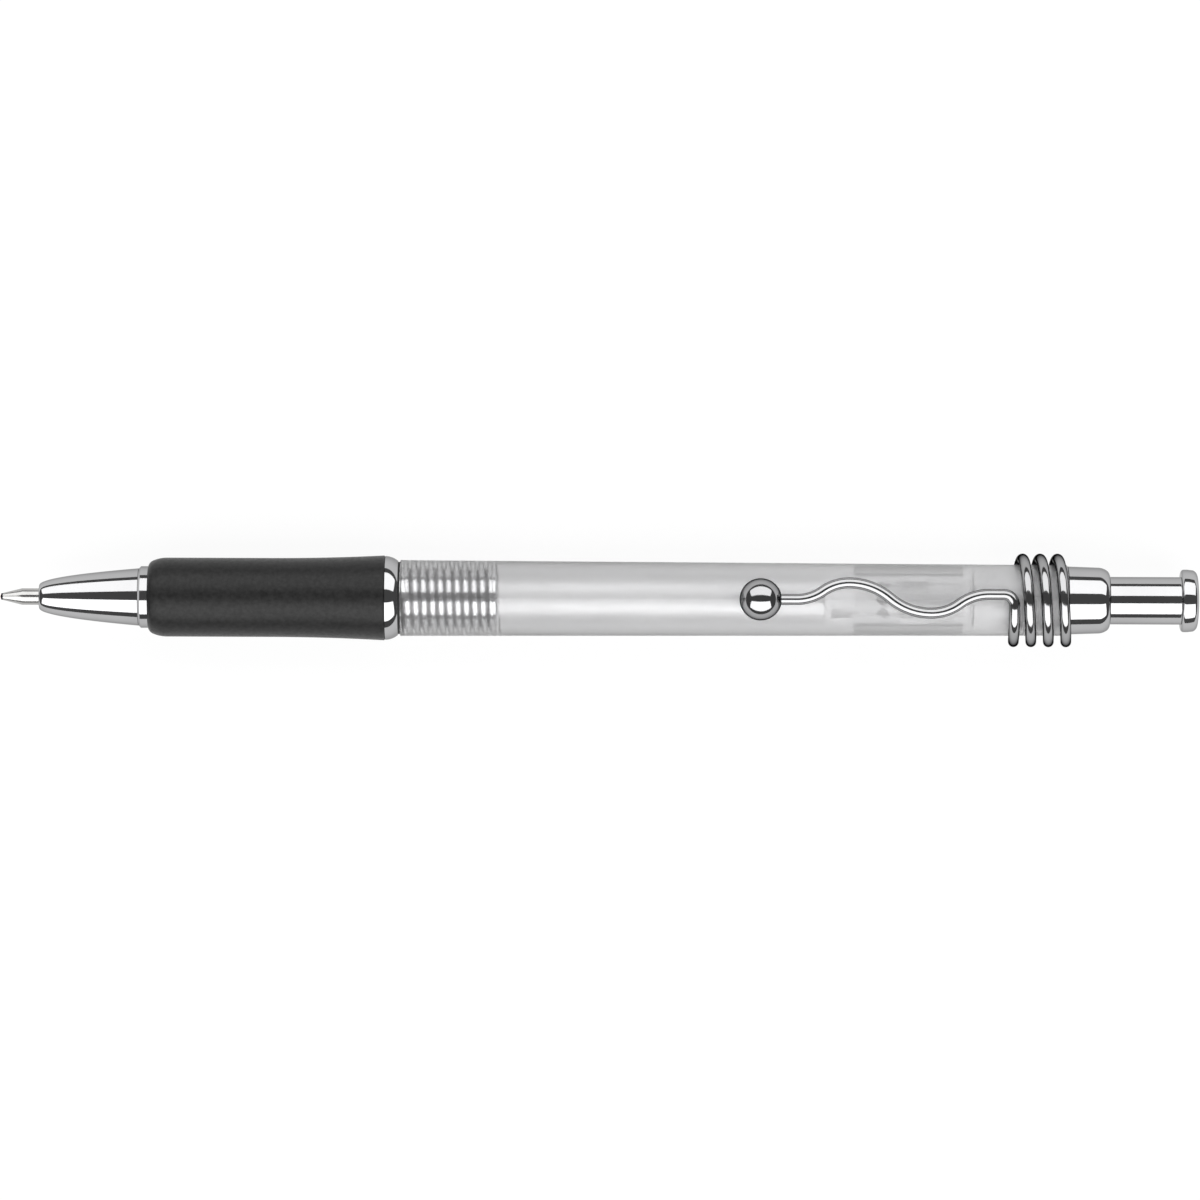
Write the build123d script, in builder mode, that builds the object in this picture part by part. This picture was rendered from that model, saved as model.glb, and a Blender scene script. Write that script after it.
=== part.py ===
"""Retractable ballpoint pen with a coiled wire clip, every piece its own solid.

The pen lies along X with the writing point towards -X and the clip on top.
Z = 0 is the table under the clip's coil, and X = 0 is the middle of the pen.
"""

import os
from math import atan, cos, degrees, pi, radians, sin, sqrt, tan

from build123d import *

os.makedirs("parts", exist_ok=True)

# Lengths along the pen, one after the other from the writing point, in millimetres
point_showing = 4.65
nose_length = 11.88
collar_length = 1.12
grip_length = 28.15
ring_length = 1.57
reveal_length = 0.25
cap_length = 5.05
stem_showing = 8.45
head_length = 2.2

# Clearances and fits
seat_gap = 0.02
running_gap = 0.1
axial_gap = 0.05
edge_round = 0.12

# Refill
refill_length = 98.0
refill_radius = 2.95
refill_wall = 0.35
ball_radius = 0.3
ball_grip = 0.18
tip_lip_radius = 0.38
tip_radius = 1.0
tip_cone_end = 2.6
tip_seat_length = 3.7
ink_channel_radius = 0.15
neck_gap = 0.15
neck_radius = 1.5
shoulder_gap = 0.6
shoulder_radius = 2.5
shoulder_taper = 1.0
ink_share = 0.83
plug_length = 2.1
plug_spigot_length = 3.0
plug_slot_width = 0.8
plug_slot_depth = 0.7

# Front section
nose_front_radius = 1.8
nose_rear_radius = 3.42
nose_bulge = 0.32
nose_lip_round = 0.6
guide_length = 3.0
neck_bore_length = 3.85
neck_bore_radius = 1.75
spring_pocket_radius = 2.45
nose_spigot_length = 3.5
core_radius = 3.68
grip_radius = 4.7
grip_rear_radius = 5.05
grip_lead_length = 2.3
grip_lead_depth = 0.95
grip_straight_length = 12.6

# Screw thread between the front section and the barrel
thread_radius = 3.42
thread_pitch = 1.0
thread_ridge_radius = 0.3
thread_play = 0.08
thread_lead = 0.4
thread_tail = 0.8
thread_turns = 10.5

# Trim ring
ring_radius = 5.0
ring_mid_radius = 4.79
ring_mid_share = 0.52
ring_rear_radius = 4.42
reveal_radius = 4.3

# Barrel
barrel_front_radius = 4.52
barrel_rear_radius = 4.205
barrel_bore_radius = 3.5
rib_inner_radius = 3.15
rib_embed = 0.2
rib_clearance = 0.4
rib_end_gap = 1.3
rib_count = 4
groove_angle = 24.0

# Click mechanism
retract_travel = 5.2
press_travel = 1.5
rotor_flange_radius = 2.6
rotor_flange_length = 0.95
rotor_radius = 2.2
rotor_fin_length = 2.2
rotor_fin_width = 0.9
rotor_length = 6.9
crown_depth = 0.85
crown_teeth = 8
crown_share = 0.9
crown_gap = 0.12
spindle_radius = 1.1
spindle_length = 7.05
spindle_room = 1.6
plunger_radius = 2.4
plunger_fin_setback = 1.93
plunger_fin_length = 3.4
plunger_collar_radius = 2.75
plunger_collar_length = 1.0
plunger_stop_gap = 0.2

# Button, guide bush and top cap
stem_radius = 2.83
stem_wall = 0.5
button_engagement = 0.7
button_web = 1.75
button_bore_gap = 0.4
head_radius = 3.73
head_top_radius = 3.62
head_waist_length = 0.75
head_rise = 0.5
head_round = 0.6
bush_grip_length = 11.2
cap_lip_length = 1.5
cap_front_radius = 4.05
cap_rear_radius = 3.93
cap_round = 0.98

# Wire clip
wire_diameter = 1.31
coil_gap = 0.065
coil_pitch = 2.08
coil_turns = 3.25
coil_lead = 6.38
elbow_radius = 1.3
elbow_lead = 0.15
arm_side = 0.68
flex_lead = 0.49
trough_run = 6.85
trough_side = 1.57
crest_run = 9.75
crest_side = 1.98
landing_run = 6.2
ball_run = 4.27
clip_ball_radius = 2.5
clip_ball_gap = 0.1
clip_ball_socket = 1.6

# Return spring
spring_wire = 0.36
spring_radius = 2.06
spring_turns = 8
points_per_turn = 48

# Stations along the pen, counted from the writing point
nose_rear = point_showing + nose_length
grip_front = nose_rear + collar_length
grip_rear = grip_front + grip_length
ring_rear = grip_rear + ring_length
barrel_front = ring_rear + reveal_length
guide_end = point_showing + guide_length
spring_seat = guide_end + neck_bore_length
nose_spigot_end = nose_rear + nose_spigot_length
neck_front = guide_end + press_travel + neck_gap
tip_end = neck_front + tip_seat_length
shoulder_station = nose_spigot_end + press_travel + shoulder_gap
refill_bore_front = shoulder_station + shoulder_taper + refill_wall
refill_tube_end = refill_length - plug_length
plug_front = refill_tube_end - plug_spigot_length
ink_end = refill_bore_front + (plug_front - refill_bore_front) * ink_share
rotor_front = refill_length + axial_gap
rotor_fin_front = rotor_front + rotor_flange_length
rib_front = rotor_fin_front + rotor_fin_length + rib_clearance
crown_station = rotor_front + rotor_length
spindle_end = crown_station + spindle_length
plunger_front = crown_station + crown_gap
plunger_fin_front = plunger_front + plunger_fin_setback
bush_front = plunger_fin_front + plunger_fin_length + retract_travel + plunger_stop_gap
rib_rear = bush_front - rib_end_gap
plunger_bore_end = spindle_end + retract_travel + spindle_room
button_front = bush_front + press_travel + button_engagement
barrel_rear = bush_front + bush_grip_length
barrel_length = barrel_rear - barrel_front
cap_rear = barrel_rear + cap_length
bush_rear = cap_rear - cap_lip_length
head_front = cap_rear + stem_showing
pen_length = head_front + head_length
button_bore_end = head_front - button_web
plunger_stem_end = button_bore_end - button_bore_gap
thread_start = barrel_front + thread_lead
core_end = thread_start + thread_turns * thread_pitch + thread_tail

# Radii, heights and reaches that follow
wire_radius = wire_diameter / 2
coil_radius = barrel_rear_radius + coil_gap + wire_radius
axis_height = coil_radius + wire_radius
core_bore_radius = refill_radius + running_gap
guide_radius = tip_radius + running_gap
refill_bore_radius = refill_radius - refill_wall
grip_bore_radius = core_radius + seat_gap
ring_bore_radius = thread_radius + seat_gap + seat_gap
fin_tip_radius = barrel_bore_radius - running_gap
bush_bore_radius = stem_radius + running_gap
bush_radius = barrel_bore_radius - seat_gap
plunger_stem_radius = stem_radius - stem_wall - seat_gap
spindle_bore_radius = spindle_radius + running_gap
flex_cut = wire_diameter
wave_start = flex_cut + flex_lead
trough_reach = wave_start + trough_run
crest_reach = trough_reach + crest_run
wave_end = crest_reach + landing_run
ball_reach = wave_end + ball_run
rib_arc = 360 / rib_count - groove_angle

PEN_AXIS = Axis((-pen_length / 2, 0, axis_height), (1, 0, 0))


def at(station: float, side: float = 0, height: float = 0) -> Vector:
    """Point at a station from the writing point, off the axis to +Y and to +Z."""
    return Vector(station - pen_length / 2, side, axis_height + height)


def profile_plane(angle: float = 0) -> Plane:
    """Half plane through the axis: local X is the station, local Y the radius."""
    turn = radians(angle)
    return Plane(origin=at(0), x_dir=(1, 0, 0), z_dir=(0, -cos(turn), -sin(turn)))


def radial_plane(angle: float, station: float, radius: float = 0) -> Plane:
    """Plane facing outwards at an angle about the axis: local X runs along the pen."""
    turn = radians(angle)
    side, height = -sin(turn), cos(turn)
    return Plane(
        origin=at(station, radius * side, radius * height),
        x_dir=(1, 0, 0),
        z_dir=(0, side, height),
    )


def helix_point(start: float, radius: float, pitch: float, turns: float) -> Vector:
    """Point of a right-handed helix that is on top of the pen at zero turns."""
    turn = 2 * pi * turns
    return at(start + pitch * turns, -radius * sin(turn), radius * cos(turn))


def helix_heading(radius: float, pitch: float, turns: float) -> Vector:
    """Direction of that helix after so many turns."""
    turn = 2 * pi * turns
    rise = pitch / (2 * pi * radius)
    return Vector(rise, -cos(turn), -sin(turn)).normalized()


def biarc(first: Vector, heading: Vector, last: Vector, last_heading: Vector) -> list:
    """Two arcs that meet smoothly: each as its ends and its starting direction."""
    span = last - first
    both = heading + last_heading
    spread = 2 * (1 - heading.dot(last_heading))
    lean = span.dot(both)
    reach = (sqrt(lean * lean + spread * span.dot(span)) - lean) / spread
    near = first + heading * reach
    far = last - last_heading * reach
    joint = (near + far) / 2
    return [(first, joint, heading), (joint, last, (far - near).normalized())]


def helix_arcs(start: float, radius: float, pitch: float, first: float, last: float, steps: int):
    """Arcs that follow a helix from one count of turns to another."""
    arcs = []
    for index in range(steps):
        here = first + (last - first) * index / steps
        there = first + (last - first) * (index + 1) / steps
        arcs += biarc(
            helix_point(start, radius, pitch, here),
            helix_heading(radius, pitch, here),
            helix_point(start, radius, pitch, there),
            helix_heading(radius, pitch, there),
        )
    return arcs


def least_gap(points: list, wire: float, skip: int) -> float:
    """Least open distance between parts of one wire that lie further apart along it."""
    pairs = [
        (points[i] - points[j]).length - wire
        for i in range(len(points))
        for j in range(i + skip, len(points))
    ]
    return min(pairs)


# Refill: ball, tip, tube, ink and end plug
with BuildPart() as writing_ball:
    with Locations(at(ball_radius)):
        Sphere(ball_radius)
writing_ball.part.label = "writing_ball"
export_step(writing_ball.part, "parts/writing_ball.step")

with BuildPart() as refill_tip:
    with BuildSketch(profile_plane()):
        with BuildLine():
            Polyline(
                (ball_radius - ball_grip, 0),
                (ball_radius - ball_grip, tip_lip_radius),
                (tip_cone_end, tip_radius),
                (tip_end, tip_radius),
                (tip_end, 0),
                close=True,
            )
        make_face()
    revolve(axis=PEN_AXIS)
    with Locations(at(ball_radius)):
        Sphere(ball_radius + seat_gap, mode=Mode.SUBTRACT)
    with BuildSketch(profile_plane()):
        with BuildLine():
            Polyline(
                (ball_radius, 0),
                (ball_radius, ink_channel_radius),
                (tip_end, ink_channel_radius),
                (tip_end, 0),
                close=True,
            )
        make_face()
    revolve(axis=PEN_AXIS, mode=Mode.SUBTRACT)
refill_tip.part.label = "refill_tip"
export_step(refill_tip.part, "parts/refill_tip.step")

with BuildPart() as refill_tube:
    with BuildSketch(profile_plane()):
        with BuildLine():
            Polyline(
                (neck_front, tip_radius + seat_gap),
                (neck_front, neck_radius),
                (shoulder_station, neck_radius),
                (shoulder_station, shoulder_radius),
                (shoulder_station + shoulder_taper, refill_radius),
                (refill_tube_end, refill_radius),
                (refill_tube_end, refill_bore_radius),
                (refill_bore_front, refill_bore_radius),
                (refill_bore_front, tip_radius + seat_gap),
                close=True,
            )
        make_face()
    revolve(axis=PEN_AXIS)
refill_tube.part.label = "refill_tube"
export_step(refill_tube.part, "parts/refill_tube.step")

with BuildPart() as ink_column:
    with BuildSketch(profile_plane()):
        with BuildLine():
            Polyline(
                (tip_end + seat_gap, 0),
                (tip_end + seat_gap, tip_radius),
                (refill_bore_front + seat_gap, tip_radius),
                (refill_bore_front + seat_gap, refill_bore_radius - seat_gap),
                (ink_end, refill_bore_radius - seat_gap),
                (ink_end, 0),
                close=True,
            )
        make_face()
    revolve(axis=PEN_AXIS)
ink_column.part.label = "ink_column"
export_step(ink_column.part, "parts/ink_column.step")

with BuildPart() as refill_plug:
    with BuildSketch(profile_plane()):
        with BuildLine():
            Polyline(
                (plug_front, 0),
                (plug_front, refill_bore_radius - seat_gap),
                (refill_tube_end, refill_bore_radius - seat_gap),
                (refill_tube_end, refill_radius),
                (refill_length, refill_radius),
                (refill_length, 0),
                close=True,
            )
        make_face()
    revolve(axis=PEN_AXIS)
    for angle in (0, 90):
        with Locations(radial_plane(angle, refill_length)):
            Box(
                plug_slot_depth * 2,
                plug_slot_width,
                refill_radius * 2 + plug_slot_width,
                mode=Mode.SUBTRACT,
            )
refill_plug.part.label = "refill_plug"
export_step(refill_plug.part, "parts/refill_plug.step")

# Return spring round the refill's neck
spring_front = spring_seat + axial_gap + spring_wire / 2
spring_pitch = (shoulder_station - axial_gap - spring_wire / 2 - spring_front) / spring_turns
with BuildPart() as return_spring:
    with BuildLine() as spring_path:
        for first, last, heading in helix_arcs(
            spring_front, spring_radius, spring_pitch, 0, spring_turns, spring_turns * 4
        ):
            TangentArc(first, last, tangent=heading)
    with BuildSketch(
        Plane(
            origin=helix_point(spring_front, spring_radius, spring_pitch, 0),
            z_dir=helix_heading(spring_radius, spring_pitch, 0),
        )
    ):
        Circle(spring_wire / 2)
    sweep()
return_spring.part.label = "return_spring"
export_step(return_spring.part, "parts/return_spring.step")
spring_points = [
    helix_point(spring_front, spring_radius, spring_pitch, index / points_per_turn)
    for index in range(points_per_turn * spring_turns + 1)
]
print("spring least gap", round(least_gap(spring_points, spring_wire, points_per_turn // 2), 3))

# Front section: nose cone, grip core with its thread, rubber grip
with BuildPart() as nose_cone:
    with BuildSketch(profile_plane()):
        with BuildLine():
            SagittaArc(
                (point_showing, nose_front_radius), (nose_rear, nose_rear_radius), nose_bulge
            )
            Polyline(
                (nose_rear, nose_rear_radius),
                (nose_rear, core_bore_radius - seat_gap),
                (nose_spigot_end, core_bore_radius - seat_gap),
                (nose_spigot_end, spring_pocket_radius),
                (spring_seat, spring_pocket_radius),
                (spring_seat, neck_bore_radius),
                (guide_end, neck_bore_radius),
                (guide_end, guide_radius),
                (point_showing, guide_radius),
                (point_showing, nose_front_radius),
            )
        make_face()
    revolve(axis=PEN_AXIS)
    lip_edges = nose_cone.edges().filter_by(GeomType.CIRCLE).group_by(Axis.X)[0]
    fillet(lip_edges.sort_by(SortBy.RADIUS)[-1], nose_lip_round)
nose_cone.part.label = "nose_cone"
export_step(nose_cone.part, "parts/nose_cone.step")

with BuildPart() as grip_core:
    with BuildSketch(profile_plane()):
        with BuildLine():
            Polyline(
                (nose_rear, core_bore_radius),
                (nose_rear, core_radius),
                (grip_rear, core_radius),
                (grip_rear, thread_radius),
                (core_end, thread_radius),
                (core_end, core_bore_radius),
                close=True,
            )
        make_face()
    revolve(axis=PEN_AXIS)
    front_rim = grip_core.edges().filter_by(GeomType.CIRCLE).group_by(Axis.X)[0]
    fillet(front_rim.sort_by(SortBy.RADIUS)[-1], edge_round)
    with BuildLine() as ridge_path:
        for first, last, heading in helix_arcs(
            thread_start, thread_radius, thread_pitch, 0, thread_turns, round(thread_turns * 2)
        ):
            TangentArc(first, last, tangent=heading)
    with BuildSketch(
        Plane(
            origin=helix_point(thread_start, thread_radius, thread_pitch, 0),
            z_dir=helix_heading(thread_radius, thread_pitch, 0),
        )
    ):
        Circle(thread_ridge_radius)
    sweep()
grip_core.part.label = "grip_core"
export_step(grip_core.part, "parts/grip_core.step")

with BuildPart() as rubber_grip:
    flare_start = grip_front + grip_lead_length + grip_straight_length
    with BuildSketch(profile_plane()):
        with BuildLine():
            EllipticalCenterArc(
                (grip_front + grip_lead_length, grip_radius - grip_lead_depth),
                grip_lead_length,
                grip_lead_depth,
                start_angle=90,
                arc_size=90,
            )
            Line((grip_front + grip_lead_length, grip_radius), (flare_start, grip_radius))
            TangentArc(
                (flare_start, grip_radius), (grip_rear, grip_rear_radius), tangent=(1, 0)
            )
            Polyline(
                (grip_rear, grip_rear_radius),
                (grip_rear, grip_bore_radius),
                (grip_front, grip_bore_radius),
                (grip_front, grip_radius - grip_lead_depth),
            )
        make_face()
    revolve(axis=PEN_AXIS)
    rear_rim = rubber_grip.edges().filter_by(GeomType.CIRCLE).group_by(Axis.X)[-1]
    fillet(rear_rim.sort_by(SortBy.RADIUS)[-1], edge_round)
rubber_grip.part.label = "rubber_grip"
export_step(rubber_grip.part, "parts/rubber_grip.step")

# Trim ring, held between the core's shoulder and the barrel
with BuildPart() as trim_ring:
    with BuildSketch(profile_plane()):
        with BuildLine():
            ThreePointArc(
                (grip_rear, ring_radius),
                (grip_rear + ring_length * ring_mid_share, ring_mid_radius),
                (ring_rear, ring_rear_radius),
            )
            Polyline(
                (ring_rear, ring_rear_radius),
                (ring_rear, reveal_radius),
                (barrel_front, reveal_radius),
                (barrel_front, ring_bore_radius),
                (grip_rear, ring_bore_radius),
                (grip_rear, ring_radius),
            )
        make_face()
    revolve(axis=PEN_AXIS)
trim_ring.part.label = "trim_ring"
export_step(trim_ring.part, "parts/trim_ring.step")

# Barrel: tapered tube, screw thread in its mouth and cam ribs in its bore
with BuildPart() as barrel:
    with BuildSketch(profile_plane()):
        with BuildLine():
            Polyline(
                (barrel_front, barrel_bore_radius),
                (barrel_front, barrel_front_radius),
                (barrel_rear, barrel_rear_radius),
                (barrel_rear, barrel_bore_radius),
                close=True,
            )
        make_face()
    revolve(axis=PEN_AXIS)
    outer_rims = barrel.edges().filter_by(GeomType.CIRCLE).sort_by(SortBy.RADIUS)[-2:]
    fillet(outer_rims, edge_round)
    with BuildLine() as groove_path:
        for first, last, heading in helix_arcs(
            thread_start, thread_radius, thread_pitch, -1, thread_turns + 1, round(thread_turns * 2) + 4
        ):
            TangentArc(first, last, tangent=heading)
    with BuildSketch(
        Plane(
            origin=helix_point(thread_start, thread_radius, thread_pitch, -1),
            z_dir=helix_heading(thread_radius, thread_pitch, -1),
        )
    ):
        Circle(thread_ridge_radius + thread_play)
    sweep(mode=Mode.SUBTRACT)
    for index in range(rib_count):
        with BuildSketch(profile_plane((index + 1 / 2) * 360 / rib_count + groove_angle / 2)):
            with BuildLine():
                Polyline(
                    (rib_front, rib_inner_radius),
                    (rib_front, barrel_bore_radius + rib_embed),
                    (rib_rear, barrel_bore_radius + rib_embed),
                    (rib_rear, rib_inner_radius),
                    close=True,
                )
            make_face()
        revolve(axis=PEN_AXIS, revolution_arc=rib_arc)
barrel.part.label = "barrel"
export_step(barrel.part, "parts/barrel.step")

# Click mechanism: rotor with its fins and crown, plunger with its guide fins
with BuildPart() as cam_rotor:
    with BuildSketch(profile_plane()):
        with BuildLine():
            Polyline(
                (rotor_front, 0),
                (rotor_front, rotor_flange_radius),
                (rotor_front + rotor_flange_length, rotor_flange_radius),
                (rotor_front + rotor_flange_length, rotor_radius),
                (crown_station, rotor_radius),
                (crown_station, spindle_radius),
                (spindle_end, spindle_radius),
                (spindle_end, 0),
                close=True,
            )
        make_face()
    revolve(axis=PEN_AXIS)
    for index in range(rib_count):
        with Locations(radial_plane((index + 1 / 2) * 360 / rib_count, rotor_fin_front, rotor_radius / 2)):
            Box(
                rotor_fin_length,
                rotor_fin_width,
                fin_tip_radius - rotor_radius / 2,
                align=(Align.MIN, Align.CENTER, Align.MIN),
            )
    for index in range(crown_teeth):
        for reach in (spindle_radius, rotor_flange_radius):
            half_tooth = reach * tan(pi / crown_teeth) * crown_share
            with BuildSketch(radial_plane(index * 360 / crown_teeth, crown_station, reach)):
                with BuildLine():
                    Polyline((0, -half_tooth), (0, half_tooth), (-crown_depth, 0), close=True)
                make_face()
        loft(ruled=True, mode=Mode.SUBTRACT)
cam_rotor.part.label = "cam_rotor"
export_step(cam_rotor.part, "parts/cam_rotor.step")

with BuildPart() as cam_plunger:
    with BuildSketch(profile_plane()):
        with BuildLine():
            Polyline(
                (plunger_front, spindle_bore_radius),
                (plunger_front, plunger_radius),
                (button_front - plunger_collar_length, plunger_radius),
                (button_front - plunger_collar_length, plunger_collar_radius),
                (button_front, plunger_collar_radius),
                (button_front, plunger_stem_radius),
                (plunger_stem_end, plunger_stem_radius),
                (plunger_stem_end, 0),
                (plunger_bore_end, 0),
                (plunger_bore_end, spindle_bore_radius),
                close=True,
            )
        make_face()
    revolve(axis=PEN_AXIS)
    fin_base = (spindle_bore_radius + plunger_radius) / 2
    for index in range(rib_count):
        with Locations(radial_plane((index + 1 / 2) * 360 / rib_count, plunger_fin_front, fin_base)):
            Box(
                plunger_fin_length,
                rotor_fin_width,
                fin_tip_radius - fin_base,
                align=(Align.MIN, Align.CENTER, Align.MIN),
            )
    for index in range(crown_teeth):
        for reach in (spindle_radius, plunger_radius + running_gap):
            half_tooth = reach * tan(pi / crown_teeth) * crown_share
            with BuildSketch(radial_plane(index * 360 / crown_teeth, plunger_front, reach)):
                with BuildLine():
                    Polyline((0, half_tooth), (0, -half_tooth), (crown_depth, 0), close=True)
                make_face()
        loft(ruled=True, mode=Mode.SUBTRACT)
cam_plunger.part.label = "cam_plunger"
export_step(cam_plunger.part, "parts/cam_plunger.step")

# Push button: chromed cup with a flanged head
with BuildPart() as push_button:
    head_edge = pen_length - head_rise
    with BuildSketch(profile_plane()):
        with BuildLine():
            ThreePointArc(
                (head_edge, head_top_radius),
                (pen_length - head_rise / 4, head_top_radius / 2),
                (pen_length, 0),
            )
            Polyline(
                (pen_length, 0),
                (button_bore_end, 0),
                (button_bore_end, stem_radius - stem_wall),
                (button_front, stem_radius - stem_wall),
                (button_front, stem_radius),
                (head_front, stem_radius),
                (head_front, head_radius),
                (head_front + head_waist_length, head_radius),
                (head_edge, head_top_radius),
            )
        make_face()
    revolve(axis=PEN_AXIS)
    rims = push_button.edges().filter_by(GeomType.CIRCLE).sort_by(Axis.X)
    fillet(rims.filter_by(lambda rim: rim.center().X > at(head_edge).X - axial_gap), head_round)
    under_rims = push_button.edges().filter_by(GeomType.CIRCLE).sort_by(SortBy.RADIUS)
    fillet(
        under_rims.filter_by(lambda rim: abs(rim.center().X - at(head_front).X) < axial_gap)[-1],
        edge_round + edge_round,
    )
push_button.part.label = "push_button"
export_step(push_button.part, "parts/push_button.step")

# Guide bush in the barrel's end, with the top cap pressed over it
with BuildPart() as guide_bush:
    with BuildSketch(profile_plane()):
        with BuildLine():
            Polyline(
                (bush_front, bush_bore_radius),
                (bush_front, bush_radius),
                (bush_rear, bush_radius),
                (bush_rear, bush_bore_radius),
                close=True,
            )
        make_face()
    revolve(axis=PEN_AXIS)
guide_bush.part.label = "guide_bush"
export_step(guide_bush.part, "parts/guide_bush.step")

with BuildPart() as top_cap:
    with BuildSketch(profile_plane()):
        with BuildLine():
            Polyline(
                (barrel_rear, barrel_bore_radius),
                (barrel_rear, cap_front_radius),
                (cap_rear, cap_rear_radius),
                (cap_rear, bush_bore_radius),
                (bush_rear + seat_gap, bush_bore_radius),
                (bush_rear + seat_gap, barrel_bore_radius),
                close=True,
            )
        make_face()
    revolve(axis=PEN_AXIS)
    cap_rims = top_cap.edges().filter_by(GeomType.CIRCLE).group_by(Axis.X)
    fillet(cap_rims[-1].sort_by(SortBy.RADIUS)[-1], cap_round)
    fillet(cap_rims[0].sort_by(SortBy.RADIUS)[-1], edge_round)
top_cap.part.label = "top_cap"
export_step(top_cap.part, "parts/top_cap.step")

# Wire clip: the arm lies in a plane that rises from the coil to the ball
coil_station = barrel_rear - coil_lead
elbow_station = coil_station - elbow_lead
arm_station = elbow_station - elbow_radius
ball_station = arm_station - ball_reach
barrel_taper = (barrel_front_radius - barrel_rear_radius) / barrel_length
barrel_at_ball = barrel_rear_radius + barrel_taper * (barrel_rear - ball_station)
ball_height = barrel_at_ball + clip_ball_radius + clip_ball_gap
arm_slope = atan((ball_height - coil_radius) / (ball_reach + elbow_radius))


def on_arm(reach: float, side: float) -> Vector:
    """Point of the arm's rising plane, from the elbow towards the ball, side to -Y."""
    along = reach * cos(arm_slope)
    rise = (reach + elbow_radius) * sin(arm_slope)
    return at(arm_station - along, -side, coil_radius + rise)


arm_heading = Vector(-cos(arm_slope), 0, sin(arm_slope))
coil_heading = Vector(0, 0, -1)
coil_first = 1 / 4
coil_start = coil_station - coil_pitch * coil_first
elbow_end = on_arm(-elbow_radius, elbow_radius - arm_side)

with BuildPart() as clip_coil:
    with BuildLine() as coil_path:
        Line(on_arm(flex_cut, -arm_side), on_arm(0, -arm_side))
        TangentArc(on_arm(0, -arm_side), elbow_end, tangent=-arm_heading)
        for first, last, heading in biarc(
            elbow_end,
            Vector(0, -1, 0),
            helix_point(coil_start, coil_radius, coil_pitch, coil_first),
            helix_heading(coil_radius, coil_pitch, coil_first),
        ):
            TangentArc(first, last, tangent=heading)
        for first, last, heading in helix_arcs(
            coil_start, coil_radius, coil_pitch, coil_first, coil_first + coil_turns, round(coil_turns * 4)
        ):
            TangentArc(first, last, tangent=heading)
    with BuildSketch(Plane(origin=on_arm(flex_cut, -arm_side), z_dir=-arm_heading)):
        Circle(wire_radius)
    sweep()
clip_coil.part.label = "clip_coil"
export_step(clip_coil.part, "parts/clip_coil.step")
coil_steps = round(points_per_turn * (coil_turns + coil_first))
coil_points = [coil_path.wire() @ (index / coil_steps) for index in range(coil_steps + 1)]
print("clip coil least gap", round(least_gap(coil_points, wire_diameter, points_per_turn // 2), 3))

with BuildPart() as clip_arm:
    bends = [
        (wave_start, -arm_side),
        (trough_reach, trough_side),
        (crest_reach, -crest_side),
        (wave_end, 0),
    ]
    with BuildLine() as arm_path:
        Line(on_arm(flex_cut, -arm_side), on_arm(wave_start, -arm_side))
        for (near_reach, near_side), (far_reach, far_side) in zip(bends, bends[1:]):
            near = on_arm(near_reach, near_side)
            far = on_arm(far_reach, far_side)
            middle = (near + far) / 2
            TangentArc(near, middle, tangent=arm_heading)
            TangentArc(far, middle, tangent=-arm_heading)
        Line(on_arm(wave_end, 0), on_arm(ball_reach - clip_ball_radius + clip_ball_socket, 0))
    with BuildSketch(Plane(origin=on_arm(flex_cut, -arm_side), z_dir=arm_heading)):
        Circle(wire_radius)
    sweep()
clip_arm.part.label = "clip_arm"
export_step(clip_arm.part, "parts/clip_arm.step")

with BuildPart() as clip_ball:
    with Locations(on_arm(ball_reach, 0)):
        Sphere(clip_ball_radius)
    with BuildSketch(
        Plane(origin=on_arm(ball_reach - clip_ball_radius + clip_ball_socket, 0), z_dir=-arm_heading)
    ):
        Circle(wire_radius + seat_gap)
    extrude(amount=clip_ball_radius, mode=Mode.SUBTRACT)
clip_ball.part.label = "clip_ball"
export_step(clip_ball.part, "parts/clip_ball.step")

print("pen length", round(pen_length, 2), "arm slope", round(degrees(arm_slope), 2))
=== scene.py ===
"""Looks of a retractable ballpoint pen: chromed metal, rubber grip, frosted barrel, wire clip."""

import logging
import math
from dataclasses import dataclass, field
from enum import Enum

import bmesh
import bpy
from mathutils import Matrix, Vector


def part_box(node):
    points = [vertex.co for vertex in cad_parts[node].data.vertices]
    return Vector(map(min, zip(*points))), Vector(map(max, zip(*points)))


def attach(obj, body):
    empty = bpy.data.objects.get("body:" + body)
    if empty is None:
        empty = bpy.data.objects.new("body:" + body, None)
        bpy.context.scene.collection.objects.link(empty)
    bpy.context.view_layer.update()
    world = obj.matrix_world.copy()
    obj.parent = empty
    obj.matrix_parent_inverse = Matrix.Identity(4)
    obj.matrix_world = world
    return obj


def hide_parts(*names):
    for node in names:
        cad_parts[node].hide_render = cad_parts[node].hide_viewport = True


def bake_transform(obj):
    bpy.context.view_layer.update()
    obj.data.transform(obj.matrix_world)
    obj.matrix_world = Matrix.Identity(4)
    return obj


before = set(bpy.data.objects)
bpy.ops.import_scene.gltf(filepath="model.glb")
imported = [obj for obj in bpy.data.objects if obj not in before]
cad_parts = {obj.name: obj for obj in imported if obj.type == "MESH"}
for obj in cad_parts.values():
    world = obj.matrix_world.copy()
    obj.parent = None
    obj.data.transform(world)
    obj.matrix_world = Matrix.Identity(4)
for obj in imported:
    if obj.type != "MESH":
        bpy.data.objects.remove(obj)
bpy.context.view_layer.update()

LOG = logging.getLogger("pen")
MM = 0.001
MERGE_DISTANCE = 1e-7

# Colour sockets of a mix node
FIRST_COLOUR, SECOND_COLOUR, MIXED_COLOUR = 6, 7, 2


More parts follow.
